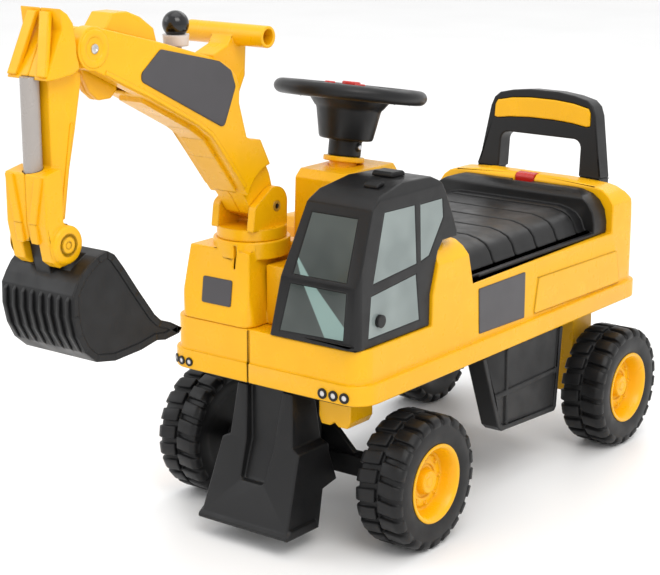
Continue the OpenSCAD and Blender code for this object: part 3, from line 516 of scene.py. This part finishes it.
def makeBucketDetails(half, ribs, ribWide, ribRise, rimWide, rimRise):
    middle = diggerShape["middle"]
    bm = bmesh.new()
    curve = [Vector((0, y, z)) for y, z in bucketBack]
    outer = []
    for i, spot in enumerate(curve):
        way = (curve[min(i + 1, len(curve) - 1)] - curve[max(i - 1, 0)]).normalized()
        rise = ribRise * min(1, i, len(curve) - 1 - i)
        outer.append(spot + Vector((0, -abs(way.z), way.y if way.z < 0 else -way.y)).normalized() * rise)
    inner = [spot + Vector((0, 1.5, 1.0)) for spot in curve]
    pitch = (2 * half - 10) / (ribs - 1)
    for i in range(ribs):
        x = middle - half + 5 + i * pitch
        face = polygonFace(bm, [(x - ribWide / 2, p.y, p.z) for p in inner + outer[::-1]])
        extruded(bm, face, (ribWide, 0, 0))
    # the side plates' raised rims and the lip's thick edge
    for side in (1, -1):
        x = middle + side * (half - 0.6)
        ring = [Vector((x, y, z)) for y, z in bucketEdge]
        centre = Vector((x, -450, 262))
        small = []
        for i, spot in enumerate(ring):
            way = (ring[(i + 1) % len(ring)] - ring[i - 1]).normalized()
            inward = Vector((0, -way.z, way.y))
            if inward.dot(centre - spot) < 0:
                inward = -inward
            small.append(spot + inward * rimWide)
        for i in range(len(ring)):
            face = polygonFace(bm, [ring[i - 1], ring[i], small[i], small[i - 1]])
            extruded(bm, face, (side * rimRise, 0, 0))
    bmesh.ops.remove_doubles(bm, verts=bm.verts, dist=0.01)
    newMesh("bucket_ribs", bm, "blackPlastic", "bucket", smooth=30, bevel=0.6)


makeBoomDetails()
makeArmDetails()
makeBucketDetails(**bucketShape)
print("digger details made")

# steering wheel: padded rim, spokes that run into a deep bowl, button pad

wheelShape = dict(centre=(0, -125, 414), lean=-9.5, rimRadius=66, rimWide=8.2, rimTall=7.2)


def makeWheel(centre, lean, rimRadius, rimWide, rimTall):
    toColumn = Matrix.Translation(centre) @ Matrix.Rotation(math.radians(lean), 4, "X")
    bm = bmesh.new()
    ring = [(rimRadius + rimWide * math.cos(a), 0, rimTall * math.sin(a))
            for a in (math.radians(k * 360 / 24) for k in range(25))]
    spun(bm, ring, 96, (0, 0, 1))
    for turn in (0, 90, 180, 270):
        made = bmesh.ops.create_grid(bm, x_segments=6, y_segments=4, size=0.5)
        for v in made["verts"]:
            out, across = v.co.x + 0.5, v.co.y * 2
            wide = 17 - 8 * out ** 0.8 + 4 * out ** 6
            v.co = Vector((24 + out * 38, across * wide, 3.2 - 5.0 * out ** 2 - 1.6 * across ** 2))
        faces = list({f for v in made["verts"] for f in v.link_faces})
        shell = bmesh.ops.extrude_face_region(bm, geom=faces)
        low = [v for v in shell["geom"] if isinstance(v, bmesh.types.BMVert)]
        bmesh.ops.translate(bm, verts=low, vec=(0, 0, -4.5))
        verts = list(set(made["verts"]) | set(low))
        bmesh.ops.rotate(bm, verts=verts, cent=(0, 0, 0),
                         matrix=Matrix.Rotation(math.radians(turn), 3, "Z"))
    bowl = [(0.01, 1), (30.2, 1), (30.4, 4), (33, 4.6), (36.5, 3.4), (39, 0.2), (40, -5), (38.6, -7.6),
            (33.5, -14.4), (32, -15.6), (31.2, -18), (26.6, -43), (25.4, -45.4), (22, -46.2),
            (16.4, -46.6), (16, -48), (16, -61), (15.2, -61.8), (5.2, -61.8)]
    spun(bm, [(r, 0, z) for r, z in bowl], 72, (0, 0, 1))
    # screw boss on the neck
    screw = bmesh.ops.create_cone(bm, cap_ends=True, segments=20, radius1=4.2, radius2=3.6, depth=4)
    bmesh.ops.transform(bm, verts=screw["verts"], matrix=Matrix.Translation((15.6, 0, -52)) @ quarterTurn)
    bmesh.ops.remove_doubles(bm, verts=bm.verts, dist=0.01)
    bmesh.ops.transform(bm, matrix=toColumn, verts=bm.verts)
    newMesh("steering_wheel_moulded", bm, "blackPlastic", "steering", ("steering_wheel",),
            smooth=38, bevel=0.5)
    bm = bmesh.new()
    head = bmesh.ops.create_cone(bm, cap_ends=True, segments=20, radius1=2.6, radius2=2.2, depth=1.2)
    bmesh.ops.transform(bm, verts=head["verts"],
                        matrix=toColumn @ Matrix.Translation((17.8, 0, -52)) @ quarterTurn)
    newMesh("wheel_screw", bm, "drawnSteel", "steering", smooth=40, bevel=0.3)


makeWheel(**wheelShape)
for name, width in dict(wheel_pad=0.8, horn_button=1.4, sound_buttons=1.2).items():
    softened(name, width, 3)
print("steering wheel made")

# camera, floor and lights

camera = dict(spot=(1.0315, -1.3748, 0.6676), azimuth=37.565, elevation=14.627, roll=-0.057, lens=97.8)


def setCamera(spot, azimuth, elevation, roll, lens):
    data = bpy.data.cameras.new("camera")
    data.lens = lens
    data.sensor_width = 36
    data.clip_end = 30
    thing = bpy.data.objects.new("camera", data)
    turn = Matrix.Rotation(math.radians(azimuth), 4, "Z") @ \
        Matrix.Rotation(math.radians(90 - elevation), 4, "X")
    thing.matrix_world = Matrix.Translation(spot) @ turn @ Matrix.Rotation(math.radians(roll), 4, "Z")
    scene.collection.objects.link(thing)
    scene.camera = thing


setCamera(**camera)


def floorFinish():
    sheet = Sheet("paleFloor")
    cloud = sheet.noise(3, 2)
    tone = sheet.mixed(cloud.ramp(0.3, 0.7, 0, 1), (0.90, 0.90, 0.90, 1), (0.93, 0.93, 0.93, 1))
    sheet.feed(Base_Color=tone, Roughness=0.38 + 0.04 * cloud)
    return sheet.material


def makeFloor(size):
    mesh = bpy.data.meshes.new("floor")
    bm = bmesh.new()
    bmesh.ops.create_grid(bm, x_segments=2, y_segments=2, size=size)
    bm.to_mesh(mesh)
    bm.free()
    thing = bpy.data.objects.new("floor", mesh)
    scene.collection.objects.link(thing)
    paint(thing, floorFinish())


makeFloor(12)

# the lamps all point at the toy's middle
lamps = {
    "keyLamp": dict(spot=(1.9, -1.2, 2.6), width=1.8, height=1.4, power=40, colour=(1, 0.98, 0.95)),
    "fillLamp": dict(spot=(-2.4, -1.6, 1.9), width=2.0, height=1.6, power=16, colour=(0.96, 0.98, 1)),
    "rearLamp": dict(spot=(-0.4, 2.6, 2.4), width=2.2, height=1.2, power=14, colour=(1, 1, 1)),
    "topLamp": dict(spot=(0.0, 0.0, 3.0), width=2.4, height=2.4, power=20, colour=(1, 1, 1)),
}


def makeLamp(name, spot, width, height, power, colour):
    data = bpy.data.lights.new(name, "AREA")
    data.shape = "RECTANGLE"
    data.size = width
    data.size_y = height
    data.energy = power
    data.color = colour
    thing = bpy.data.objects.new(name, data)
    away = Vector((0, 0, 0.25)) - Vector(spot)
    thing.rotation_euler = away.to_track_quat("-Z", "Y").to_euler()
    thing.location = spot
    scene.collection.objects.link(thing)


for name, values in lamps.items():
    makeLamp(name, **values)

world = bpy.data.worlds.new("studio")
world.use_nodes = True
world.node_tree.nodes["Background"].inputs["Color"].default_value = (1, 1, 1, 1)
world.node_tree.nodes["Background"].inputs["Strength"].default_value = 1.0
scene.world = world
scene.view_settings.view_transform = "Standard"
print("camera, floor and lights set")
